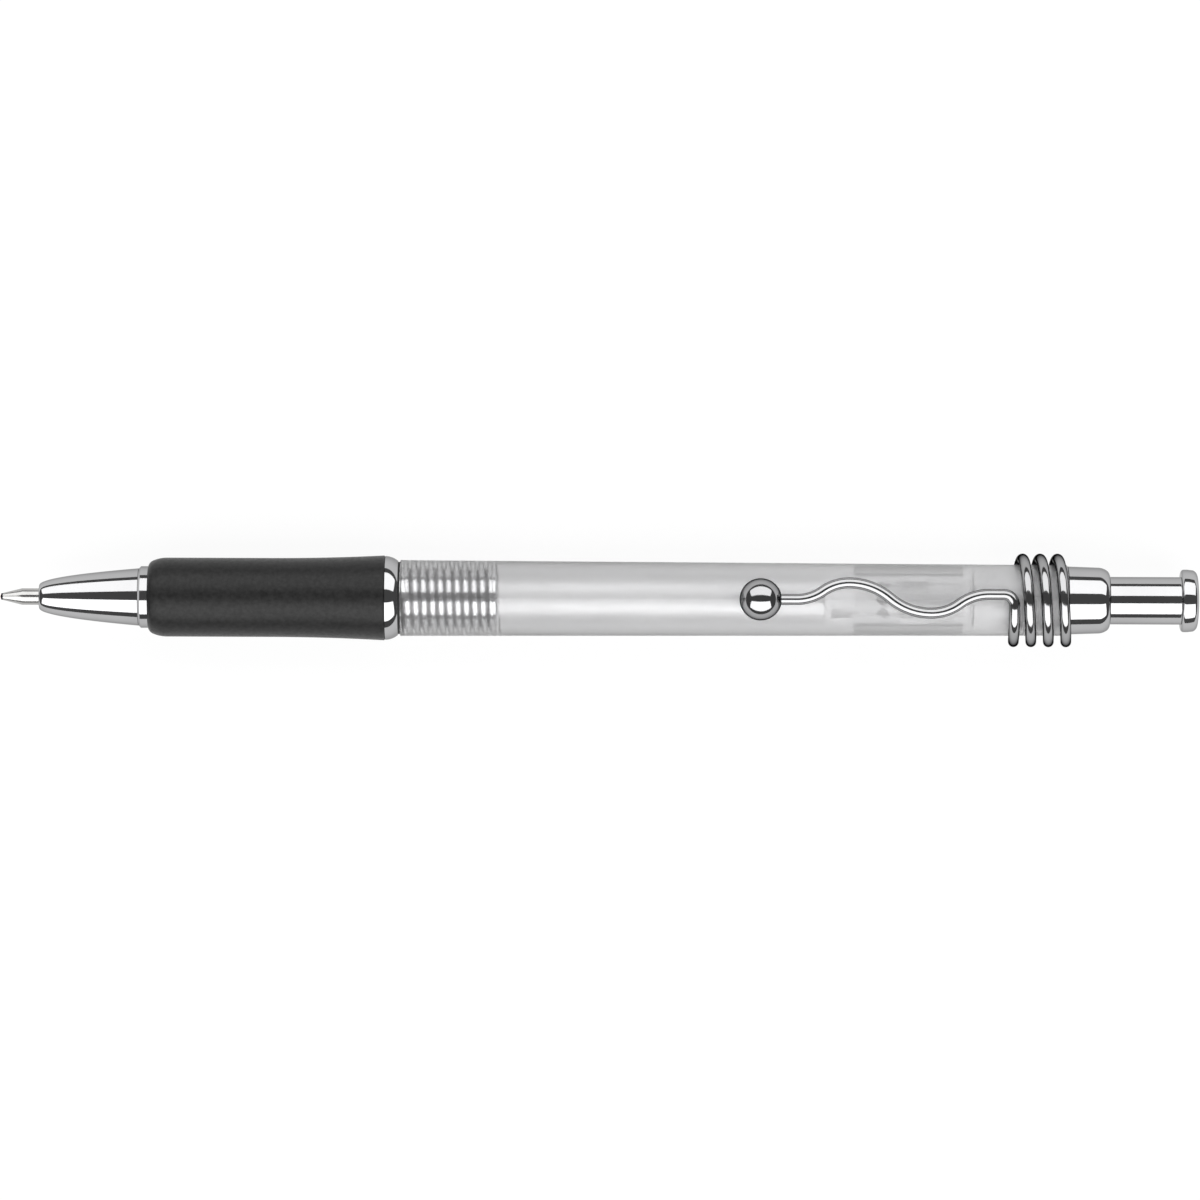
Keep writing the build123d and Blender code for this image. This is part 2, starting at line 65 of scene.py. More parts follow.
class Body(Enum):
    """The moving bodies that pieces ride on."""

    BARREL = "barrel_body"
    BUTTON = "button"
    CLIP = "clip"
    REFILL = "refill"
    RING = "ring"
    FRONT = "front_section"


class Effect(Enum):
    """The shared shader groups."""

    HANDLING_MARKS = "handling_marks"
    FINE_GRAIN = "fine_grain"
    TONE_DRIFT = "tone_drift"


# Shader building


class NodeSheet:
    """A node tree with short calls to add and join nodes."""

    def __init__(self, tree: bpy.types.NodeTree) -> None:
        """Starts on an empty tree.

        Args:
            tree: The material's or group's node tree.
        """
        self.tree = tree
        tree.nodes.clear()

    def add(self, kind: str, settings: dict | None = None, **values: object) -> bpy.types.Node:
        """Adds a node.

        Args:
            kind: The node's type name.
            settings: Plain properties of the node.
            values: Socket values, with underscores for the spaces in their names.

        Returns:
            The new node.
        """
        node = self.tree.nodes.new(kind)
        for name, value in (settings or {}).items():
            setattr(node, name, value)
        for name, value in values.items():
            node.inputs[name.replace("_", " ")].default_value = value
        return node

    def join(self, source: bpy.types.NodeSocket, target: bpy.types.NodeSocket) -> None:
        """Links an output to an input."""
        self.tree.links.new(source, target)


def group_frame(effect: Effect, inputs: dict[str, float], outputs: list[str]) -> NodeSheet:
    """Makes an empty shader group with named sockets.

    Args:
        effect: The group's name.
        inputs: Value inputs and their defaults.
        outputs: Value outputs.

    Returns:
        The sheet of the new group.
    """
    tree = bpy.data.node_groups.new(effect.value, "ShaderNodeTree")
    sheet = NodeSheet(tree)
    for name, value in inputs.items():
        socket = tree.interface.new_socket(name, in_out="INPUT", socket_type="NodeSocketFloat")
        socket.default_value = value
    for name in outputs:
        tree.interface.new_socket(name, in_out="OUTPUT", socket_type="NodeSocketFloat")
    return sheet


def build_handling_marks() -> None:
    """Builds the group of faint rubbed patches and hairlines along the pen."""
    sheet = group_frame(
        Effect.HANDLING_MARKS,
        {"Patch Scale": 300.0, "Line Scale": 2500.0, "Low": 0.03, "High": 0.08},
        ["Roughness", "Height"],
    )
    entry = sheet.add("NodeGroupInput")
    leave = sheet.add("NodeGroupOutput")
    coords = sheet.add("ShaderNodeTexCoord")
    stretch = sheet.add("ShaderNodeMapping", Scale=(0.06, 1.0, 1.0))
    patch = sheet.add("ShaderNodeTexNoise", Detail=3.0, Roughness=0.6)
    lines = sheet.add("ShaderNodeTexNoise", Detail=2.0, Roughness=0.5)
    both = sheet.add("ShaderNodeMath", {"operation": "MULTIPLY"})
    spread = sheet.add("ShaderNodeMapRange", From_Min=0.12, From_Max=0.42)
    sheet.join(coords.outputs["Object"], patch.inputs["Vector"])
    sheet.join(coords.outputs["Object"], stretch.inputs["Vector"])
    sheet.join(stretch.outputs["Vector"], lines.inputs["Vector"])
    sheet.join(entry.outputs["Patch Scale"], patch.inputs["Scale"])
    sheet.join(entry.outputs["Line Scale"], lines.inputs["Scale"])
    sheet.join(patch.outputs["Fac"], both.inputs[0])
    sheet.join(lines.outputs["Fac"], both.inputs[1])
    sheet.join(both.outputs["Value"], spread.inputs["Value"])
    sheet.join(entry.outputs["Low"], spread.inputs["To Min"])
    sheet.join(entry.outputs["High"], spread.inputs["To Max"])
    sheet.join(spread.outputs["Result"], leave.inputs["Roughness"])
    sheet.join(lines.outputs["Fac"], leave.inputs["Height"])


def build_fine_grain() -> None:
    """Builds the group of moulded or blasted grain, coarse and fine together."""
    sheet = group_frame(
        Effect.FINE_GRAIN,
        {"Scale": 6000.0, "Coarse Share": 0.3, "Low": 0.4, "High": 0.6},
        ["Roughness", "Height"],
    )
    entry = sheet.add("NodeGroupInput")
    leave = sheet.add("NodeGroupOutput")
    coords = sheet.add("ShaderNodeTexCoord")
    fine = sheet.add("ShaderNodeTexNoise", Detail=2.0, Roughness=0.55)
    cells = sheet.add("ShaderNodeTexVoronoi")
    smaller = sheet.add("ShaderNodeMath", {"operation": "MULTIPLY"})
    smaller.inputs[1].default_value = 0.35
    mix = sheet.add("ShaderNodeMix")
    spread = sheet.add("ShaderNodeMapRange", From_Min=0.3, From_Max=0.7)
    sheet.join(coords.outputs["Object"], fine.inputs["Vector"])
    sheet.join(coords.outputs["Object"], cells.inputs["Vector"])
    sheet.join(entry.outputs["Scale"], fine.inputs["Scale"])
    sheet.join(entry.outputs["Scale"], smaller.inputs[0])
    sheet.join(smaller.outputs["Value"], cells.inputs["Scale"])
    sheet.join(entry.outputs["Coarse Share"], mix.inputs["Factor"])
    sheet.join(fine.outputs["Fac"], mix.inputs["A"])
    sheet.join(cells.outputs["Distance"], mix.inputs["B"])
    sheet.join(mix.outputs["Result"], leave.inputs["Height"])
    sheet.join(fine.outputs["Fac"], spread.inputs["Value"])
    sheet.join(entry.outputs["Low"], spread.inputs["To Min"])
    sheet.join(entry.outputs["High"], spread.inputs["To Max"])
    sheet.join(spread.outputs["Result"], leave.inputs["Roughness"])


def build_tone_drift() -> None:
    """Builds the group that lightens and darkens a colour slightly over the surface."""
    sheet = group_frame(Effect.TONE_DRIFT, {"Scale": 120.0}, ["Mask"])
    entry = sheet.add("NodeGroupInput")
    leave = sheet.add("NodeGroupOutput")
    coords = sheet.add("ShaderNodeTexCoord")
    cloud = sheet.add("ShaderNodeTexNoise", Detail=4.0, Roughness=0.6)
    spread = sheet.add("ShaderNodeMapRange", From_Min=0.35, From_Max=0.65)
    sheet.join(coords.outputs["Object"], cloud.inputs["Vector"])
    sheet.join(entry.outputs["Scale"], cloud.inputs["Scale"])
    sheet.join(cloud.outputs["Fac"], spread.inputs["Value"])
    sheet.join(spread.outputs["Result"], leave.inputs["Mask"])


BUILDERS = {
    Effect.HANDLING_MARKS: build_handling_marks,
    Effect.FINE_GRAIN: build_fine_grain,
    Effect.TONE_DRIFT: build_tone_drift,
}


def place_effect(sheet: NodeSheet, effect: Effect, **values: float) -> bpy.types.Node:
    """Places a shared group in a material, building it the first time.

    Args:
        sheet: The material's sheet.
        effect: Which group.
        values: Its input values, with underscores for spaces.

    Returns:
        The group node.
    """
    if effect.value not in bpy.data.node_groups:
        BUILDERS[effect]()
    tree = bpy.data.node_groups[effect.value]
    return sheet.add("ShaderNodeGroup", {"node_tree": tree}, **values)


@dataclass(frozen=True)
class Finish:
    """A surface finish: two close tones, a roughness range and a relief."""

    name: str
    light: tuple[float, float, float]
    dark: tuple[float, float, float]
    low: float
    high: float
    relief: float
    effect: Effect
    grain: float = 6000.0
    drift: float = 120.0
    metallic: float = 0.0
    specular: float = 0.5
    transmission: float = 0.0
    ior: float = 1.5
    edge: float = 1.0
    absorption: float = 0.0
    bump: float = 0.35

    def material(self) -> bpy.types.Material:
        """Gives the finish's material, built once.

        Returns:
            The node material.
        """
        title = f"{self.name}_finish"
        if title in bpy.data.materials:
            return bpy.data.materials[title]
        made = bpy.data.materials.new(title)
        made.use_nodes = True
        sheet = NodeSheet(made.node_tree)
        out = sheet.add("ShaderNodeOutputMaterial")
        skin = sheet.add(
            "ShaderNodeBsdfPrincipled", Metallic=self.metallic, IOR=self.ior,
            Specular_IOR_Level=self.specular, Transmission_Weight=self.transmission,
            Specular_Tint=(self.edge, self.edge, self.edge, 1.0),
        )
        sheet.join(self.colour(sheet), skin.inputs["Base Color"])
        marks = self.marks(sheet)
        sheet.join(marks.outputs["Roughness"], skin.inputs["Roughness"])
        bump = sheet.add("ShaderNodeBump", Strength=self.bump, Distance=self.relief)
        sheet.join(marks.outputs["Height"], bump.inputs["Height"])
        sheet.join(bump.outputs["Normal"], skin.inputs["Normal"])
        sheet.join(self.surface(sheet, skin.outputs["BSDF"]), out.inputs["Surface"])
        if self.absorption:
            depth = sheet.add(
                "ShaderNodeVolumeAbsorption", Color=(0.0, 0.0, 0.0, 1.0), Density=self.absorption
            )
            sheet.join(depth.outputs["Volume"], out.inputs["Volume"])
        return made

    def colour(self, sheet: NodeSheet) -> bpy.types.NodeSocket:
        """Mixes the two tones by a slow drift over the surface.

        Args:
            sheet: The material's sheet.

        Returns:
            The socket with the colour.
        """
        drift = place_effect(sheet, Effect.TONE_DRIFT, Scale=self.drift)
        tones = sheet.add("ShaderNodeMix", {"data_type": "RGBA"})
        tones.inputs[FIRST_COLOUR].default_value = (*self.dark, 1.0)
        tones.inputs[SECOND_COLOUR].default_value = (*self.light, 1.0)
        sheet.join(drift.outputs["Mask"], tones.inputs["Factor"])
        return tones.outputs[MIXED_COLOUR]

    def surface(self, sheet: NodeSheet, skin: bpy.types.NodeSocket) -> bpy.types.NodeSocket:
        """Gives the shader that the material puts out, here the skin as it is."""
        return skin

    def marks(self, sheet: NodeSheet) -> bpy.types.Node:
        """Places the finish's own surface effect.

        Args:
            sheet: The material's sheet.

        Returns:
            The group node with its roughness and height.
        """
        if self.effect is Effect.HANDLING_MARKS:
            return place_effect(sheet, self.effect, Low=self.low, High=self.high)
        return place_effect(sheet, self.effect, Scale=self.grain, Low=self.low, High=self.high)


@dataclass(frozen=True)
class InkedFinish(Finish):
    """A finish whose front end is wet with ink."""

    stain: tuple[float, float, float] = (0.01, 0.01, 0.012)
    stain_fade: tuple[float, float] = (0.28, 0.38)

    def colour(self, sheet: NodeSheet) -> bpy.types.NodeSocket:
        """Lays the ink over the two tones, up to its station in millimetres.

        Args:
            sheet: The material's sheet.

        Returns:
            The socket with the colour.
        """
        place = sheet.add("ShaderNodeTexCoord")
        along = sheet.add("ShaderNodeSeparateXYZ")
        sheet.join(place.outputs["Object"], along.inputs["Vector"])
        start, end = (AXIS.at(station).x for station in self.stain_fade)
        wet = sheet.add("ShaderNodeMapRange", From_Min=start, From_Max=end)
        sheet.join(along.outputs["X"], wet.inputs["Value"])
        inked = sheet.add("ShaderNodeMix", {"data_type": "RGBA"})
        inked.inputs[FIRST_COLOUR].default_value = (*self.stain, 1.0)
        sheet.join(wet.outputs["Result"], inked.inputs["Factor"])
        sheet.join(super().colour(sheet), inked.inputs[SECOND_COLOUR])
        return inked.outputs[MIXED_COLOUR]


@dataclass(frozen=True)
class PaperFinish(Finish):
    """A pale paper that glows part of the way to white where it is looked at."""

    lift: float = 0.9

    def surface(self, sheet: NodeSheet, skin: bpy.types.NodeSocket) -> bpy.types.NodeSocket:
        """Mixes the paper with the glow.

        Args:
            sheet: The material's sheet.
            skin: The paper's own shader.

        Returns:
            The socket with the mixed shader.
        """
        path = sheet.add("ShaderNodeLightPath")
        seen = path.outputs["Is Camera Ray"]
        for look in ("Is Glossy Ray", "Is Transmission Ray"):
            either = sheet.add("ShaderNodeMath", {"operation": "MAXIMUM"})
            sheet.join(seen, either.inputs[0])
            sheet.join(path.outputs[look], either.inputs[1])
            seen = either.outputs["Value"]
        share = sheet.add("ShaderNodeMath", {"operation": "MULTIPLY"})
        share.inputs[1].default_value = self.lift
        sheet.join(seen, share.inputs[0])
        glow = sheet.add("ShaderNodeEmission")
        mix = sheet.add("ShaderNodeMixShader")
        sheet.join(share.outputs["Value"], mix.inputs["Fac"])
        sheet.join(skin, mix.inputs[1])
        sheet.join(glow.outputs["Emission"], mix.inputs[2])
        return mix.outputs["Shader"]


CHROME = Finish(
    "mirror_chrome", (0.46, 0.46, 0.465), (0.43, 0.43, 0.435), 0.04, 0.1, 0.3e-6,
    Effect.HANDLING_MARKS, metallic=1.0, edge=0.5,
)
CORE_PLATE = Finish(
    "bright_core_plate", (0.9, 0.9, 0.905), (0.85, 0.85, 0.855), 0.08, 0.16, 0.3e-6,
    Effect.HANDLING_MARKS, metallic=1.0, edge=0.5,
)
# Near-black painted shade for the ring's step: it stands in for the shade in the groove between
# ring and barrel.
PAINTED_SHADE_STEP = Finish(
    "painted_shade_step", (0.02, 0.02, 0.02), (0.012, 0.012, 0.012), 0.5, 0.62, 2e-6,
    Effect.FINE_GRAIN, grain=5000.0, specular=0.2,
)
WIRE_CHROME = Finish(
    "chromed_wire", (0.38, 0.38, 0.385), (0.35, 0.35, 0.355), 0.06, 0.14, 0.3e-6,
    Effect.HANDLING_MARKS, metallic=1.0, edge=0.0,
)
RUBBER = Finish(
    "matte_rubber", (0.012, 0.012, 0.012), (0.004, 0.004, 0.004), 0.36, 0.48, 40e-6,
    Effect.FINE_GRAIN, grain=2600.0, drift=1800.0, specular=0.28,
)
FROST = Finish(
    "frosted_barrel", (0.985, 0.985, 0.99), (0.97, 0.97, 0.975), 0.28, 0.32, 0.05e-6,
    Effect.FINE_GRAIN, grain=9000.0, drift=90.0, transmission=0.95, ior=1.22, absorption=200.0,
)
NATURAL_PLASTIC = Finish(
    "natural_plastic", (0.96, 0.96, 0.96), (0.93, 0.93, 0.93), 0.2, 0.3, 1e-6,
    Effect.FINE_GRAIN, grain=7000.0, transmission=0.08, ior=1.5,
)
WHITE_PLASTIC = Finish(
    "white_plastic", (0.93, 0.93, 0.93), (0.9, 0.9, 0.9), 0.25, 0.36, 2e-6,
    Effect.FINE_GRAIN, grain=7000.0,
)
REFILL_METAL = Finish(
    "drawn_refill_tube", (0.92, 0.92, 0.92), (0.88, 0.88, 0.88), 0.54, 0.62, 0.6e-6,
    Effect.HANDLING_MARKS, metallic=1.0,
)
TIP_METAL = InkedFinish(
    "turned_tip", (0.45, 0.447, 0.44), (0.36, 0.357, 0.35), 0.14, 0.26, 0.5e-6,
    Effect.HANDLING_MARKS, metallic=1.0,
)
BALL_METAL = Finish(
    "carbide_ball", (0.03, 0.03, 0.032), (0.02, 0.02, 0.022), 0.12, 0.25, 0.3e-6,
    Effect.HANDLING_MARKS, metallic=1.0,
)
SPRING_STEEL = Finish(
    "spring_steel", (0.56, 0.56, 0.57), (0.46, 0.46, 0.47), 0.2, 0.32, 0.5e-6,
    Effect.HANDLING_MARKS, metallic=1.0,
)
INK = Finish(
    "ink_paste", (0.012, 0.012, 0.016), (0.006, 0.006, 0.01), 0.2, 0.35, 2e-6,
    Effect.FINE_GRAIN, grain=3000.0,
)
FLOOR_PAPER = PaperFinish(
    "floor_paper", (0.97, 0.97, 0.97), (0.96, 0.96, 0.96), 0.7, 0.8, 1e-6,
    Effect.FINE_GRAIN, grain=1500.0, specular=0.1,
)


# Mesh building


@dataclass(frozen=True)
class PenAxis:
    """The pen's axis in the shared frame, with stations counted from the writing point."""

    tip: float
    height: float

    def at(self, station: float, side: float = 0.0, rise: float = 0.0) -> Vector:
        """Gives a point from a station, an offset to +Y and one to +Z, in millimetres."""
        return Vector((self.tip + station * MM, side * MM, self.height + rise * MM))


def find_axis() -> PenAxis:
    """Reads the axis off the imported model.

    Returns:
        The axis, from the barrel's box and the writing ball's.
    """
    low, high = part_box("barrel")
    return PenAxis(tip=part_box("writing_ball")[0].x, height=(low.z + high.z) / 2)


AXIS = find_axis()


@dataclass(frozen=True)
class Swing:
    """A turn about a point: the arc from one place to another that starts along a heading."""

    centre: Vector
    axis: Vector
    angle: float

    @classmethod
    def between(cls, first: Vector, heading: Vector, last: Vector) -> "Swing":
        """Finds the arc.

        Args:
            first: Where it starts.
            heading: Its direction there.
            last: Where it ends.

        Returns:
            The arc as a turn.
        """
        span = last - first
        ahead = span.dot(heading)
        inward = span - heading * ahead
        radius = span.length_squared / (2 * inward.length)
        centre = first + inward.normalized() * radius
        return cls(centre, heading.cross(inward).normalized(), 2 * math.atan2(inward.length, ahead))

    def turned(self, heading: Vector) -> Vector:
        """Gives a heading after the turn."""
        return Matrix.Rotation(self.angle, 3, self.axis) @ heading


def piece_from(bm: bmesh.types.BMesh, name: str, smooth_to: float = 35.0) -> bpy.types.Object:
    """Closes a bmesh into an object at the origin.

    Args:
        bm: The finished mesh data, which is freed.
        name: The piece's name.
        smooth_to: Edges sharper than this many degrees stay crisp.

    Returns:
        The new object.
    """
    bmesh.ops.remove_doubles(bm, verts=bm.verts, dist=MERGE_DISTANCE)
    bmesh.ops.recalc_face_normals(bm, faces=bm.faces)
    mesh = bpy.data.meshes.new(name)
    bm.to_mesh(mesh)
    bm.free()
    mesh.shade_smooth()
    mesh.set_sharp_from_angle(angle=math.radians(smooth_to))
    made = bpy.data.objects.new(name, mesh)
    bpy.context.scene.collection.objects.link(made)
    return made


class Lathe:
    """Draws an outline beside the pen's axis and spins it into a closed skin."""

    def __init__(self, station: float, radius: float) -> None:
        """Starts the outline.

        Args:
            station: Where it starts along the pen, in millimetres.
            radius: How far from the axis it starts.
        """
        self.bm = bmesh.new()
        self.station, self.radius = station, radius
        self.last = self.bm.verts.new(AXIS.at(station, 0.0, radius))

    def line(self, station: float, radius: float) -> "Lathe":
        """Draws a straight run.

        Args:
            station: Where it ends along the pen.
            radius: How far from the axis it ends.

        Returns:
            The lathe itself.
        """
        made = bmesh.ops.extrude_vert_indiv(self.bm, verts=[self.last])["verts"][0]
        step = AXIS.at(station, 0.0, radius) - self.last.co
        bmesh.ops.translate(self.bm, verts=[made], vec=step)
        self.station, self.radius, self.last = station, radius, made
        return self

    def bow(self, station: float, radius: float, steps: int = 40) -> "Lathe":
        """Draws a parabola that leaves square to the axis and flattens along it.

        Args:
            station: Where it ends along the pen.
            radius: How far from the axis it ends.
            steps: How many runs it is made of.

        Returns:
            The lathe itself.
        """
        first_station, first_radius = self.station, self.radius
        for step in range(1, steps + 1):
            share = step / steps
            self.line(
                first_station + (station - first_station) * share * share,
                first_radius + (radius - first_radius) * share,
            )
        return self

    def arc(self, station: float, radius: float, bulge: float, steps: int = 12) -> "Lathe":
        """Draws an arc.

        Args:
            station: Where it ends along the pen.
            radius: How far from the axis it ends.
            bulge: Its height over the chord, away from the axis if positive.
            steps: How many runs it is made of.

        Returns:
            The lathe itself.
        """
        first, last = self.last.co.copy(), AXIS.at(station, 0.0, radius)
        chord = last - first
        outward = Vector((-chord.z, 0.0, chord.x)).normalized()
        if outward.z < 0 or (outward.z == 0 and chord.z > 0):
            outward.negate()
        half, rise = chord.length / 2, abs(bulge) * MM
        reach = (half * half + rise * rise) / (2 * rise)
        side = outward if bulge > 0 else -outward
        centre = (first + last) / 2 + side * (rise - reach)
        arm, end = first - centre, last - centre
        turn = math.atan2(arm.cross(end).y, arm.dot(end))
        made = bmesh.ops.spin(
            self.bm, geom=[self.last], cent=centre, axis=(0, 1, 0), angle=turn, steps=steps
        )
        self.station, self.radius = station, radius
        self.last = next(x for x in made["geom_last"] if isinstance(x, bmesh.types.BMVert))
        return self

    def spin(self, name: str, steps: int = 144, smooth_to: float = 35.0) -> bpy.types.Object:
        """Spins the outline round the pen's axis.

        Args:
            name: The piece's name.
            steps: How many faces go round.
            smooth_to: Rims sharper than this many degrees stay crisp.

        Returns:
            The spun piece.
        """
        bmesh.ops.spin(
            self.bm, geom=list(self.bm.verts) + list(self.bm.edges), cent=AXIS.at(0.0),
            axis=(1, 0, 0), angle=math.tau, steps=steps, use_merge=True,
        )
        return piece_from(self.bm, name, smooth_to)


class WireBender:
    """Draws a round wire as one skin: straight runs, bends and a wound coil."""

    def __init__(self, start: Vector, heading: Vector, diameter: float, sides: int = 28) -> None:
        """Starts the wire.

        Args:
            start: The middle of its first end.
            heading: Its direction there.
            diameter: The wire's thickness in millimetres.
            sides: Faces round the wire.
        """
        self.bm = bmesh.new()
        self.place, self.heading = start.copy(), heading.normalized()
        stand = Matrix.Translation(start) @ heading.to_track_quat("Z", "Y").to_matrix().to_4x4()
        bmesh.ops.create_circle(
            self.bm, segments=sides, radius=diameter / 2 * MM, cap_ends=False, matrix=stand
        )
        self.rim = list(self.bm.edges)
        bmesh.ops.contextual_create(self.bm, geom=self.rim)

    def run(self, place: Vector) -> "WireBender":
        """Goes straight on.

        Args:
            place: Where the run ends.

        Returns:
            The bender itself.
        """
        made = bmesh.ops.extrude_edge_only(self.bm, edges=self.rim)["geom"]
        points = [x for x in made if isinstance(x, bmesh.types.BMVert)]
        bmesh.ops.translate(self.bm, verts=points, vec=place - self.place)
        old = set(self.rim)
        self.rim = [
            x for x in made
            if isinstance(x, bmesh.types.BMEdge)
            and x not in old and all(v in points for v in x.verts)
        ]
        self.place = place.copy()
        return self

    def turn(self, swing: Swing, steps: int, advance: float = 0.0) -> "WireBender":
        """Goes round a turn.

        Args:
            swing: The turn's middle, axis and angle.
            steps: How many runs it is made of.
            advance: How far each run also moves along the turn's axis, in metres.

        Returns:
            The bender itself.
        """
        rim_points = list({v for edge in self.rim for v in edge.verts})
        made = bmesh.ops.spin(
            self.bm, geom=self.rim + rim_points, cent=swing.centre, axis=swing.axis,
            dvec=swing.axis * advance, angle=swing.angle, steps=steps,
        )
        self.rim = [x for x in made["geom_last"] if isinstance(x, bmesh.types.BMEdge)]
        arm = self.place - swing.centre
        self.place = swing.centre + swing.turned(arm) + swing.axis * advance * steps
        self.heading = swing.turned(self.heading)
        return self

    def wind(self, turns: float, pitch: float, steps: int = 72) -> "WireBender":
        """Winds round the pen's axis.

        Args:
            turns: How many turns.
            pitch: How far each turn moves along the pen, in millimetres.
            steps: Runs of one turn.

        Returns:
            The bender itself.
        """
        wound = Swing(AXIS.at(0.0), Vector((1.0, 0.0, 0.0)), math.tau * turns)
        return self.turn(wound, round(turns * steps), pitch * MM / steps)

    def bend_to(self, place: Vector, steps: int = 14) -> "WireBender":
        """Bends in one arc to a place."""
        return self.turn(Swing.between(self.place, self.heading, place), steps)

    def ease_to(self, place: Vector, heading: Vector, steps: int = 14) -> "WireBender":
        """Bends in two arcs to a place and a heading.

        Args:
            place: Where the second arc ends.
            heading: The direction there.
            steps: Runs of each arc.

        Returns:
            The bender itself.
        """
        span, both = place - self.place, self.heading + heading
        spread = 2 * (1 - self.heading.dot(heading))
        lean = span.dot(both)
        reach = (math.sqrt(lean * lean + spread * span.length_squared) - lean) / spread
        middle = (self.place + self.heading * reach + place - heading * reach) / 2
        return self.bend_to(middle, steps).bend_to(place, steps)

    def finish(self, name: str, end_round: float) -> bpy.types.Object:
        """Closes the far end with a rounded rim.

        Args:
            name: The piece's name.
            end_round: Width of the rounding, in millimetres.

        Returns:
            The wire's object.
        """
        bmesh.ops.contextual_create(self.bm, geom=self.rim)
        bmesh.ops.bevel(
            self.bm, geom=self.rim, offset=end_round * MM, affect="EDGES", segments=4,
            profile=0.5, material=-1,
        )
        return piece_from(self.bm, name)


def dress(piece: bpy.types.Object, finish: Finish) -> None:
    """Gives a piece its finish.

    Args:
        piece: The piece.
        finish: Its finish.
    """
    piece.data.materials.clear()
    piece.data.materials.append(finish.material())


def dress_node(node: str, finish: Finish) -> None:
    """Gives a carried-over solid its finish.

    Args:
        node: The solid's name.
        finish: Its finish.
    """
    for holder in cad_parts[node].material_slots:
        holder.material = finish.material()
    LOG.info("solid %s wears %s", node, finish.name)


def seat(piece: bpy.types.Object, body: Body, *nodes: str) -> None:
    """Lets a piece ride on a body in place of its solids.

    Args:
        piece: The piece.
        body: The body that carries it.
        nodes: The solids that it stands for.
    """
    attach(piece, body.value)
    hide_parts(*nodes)
    LOG.info("piece %s rides on %s", piece.name, body.value)


# Sub-assemblies


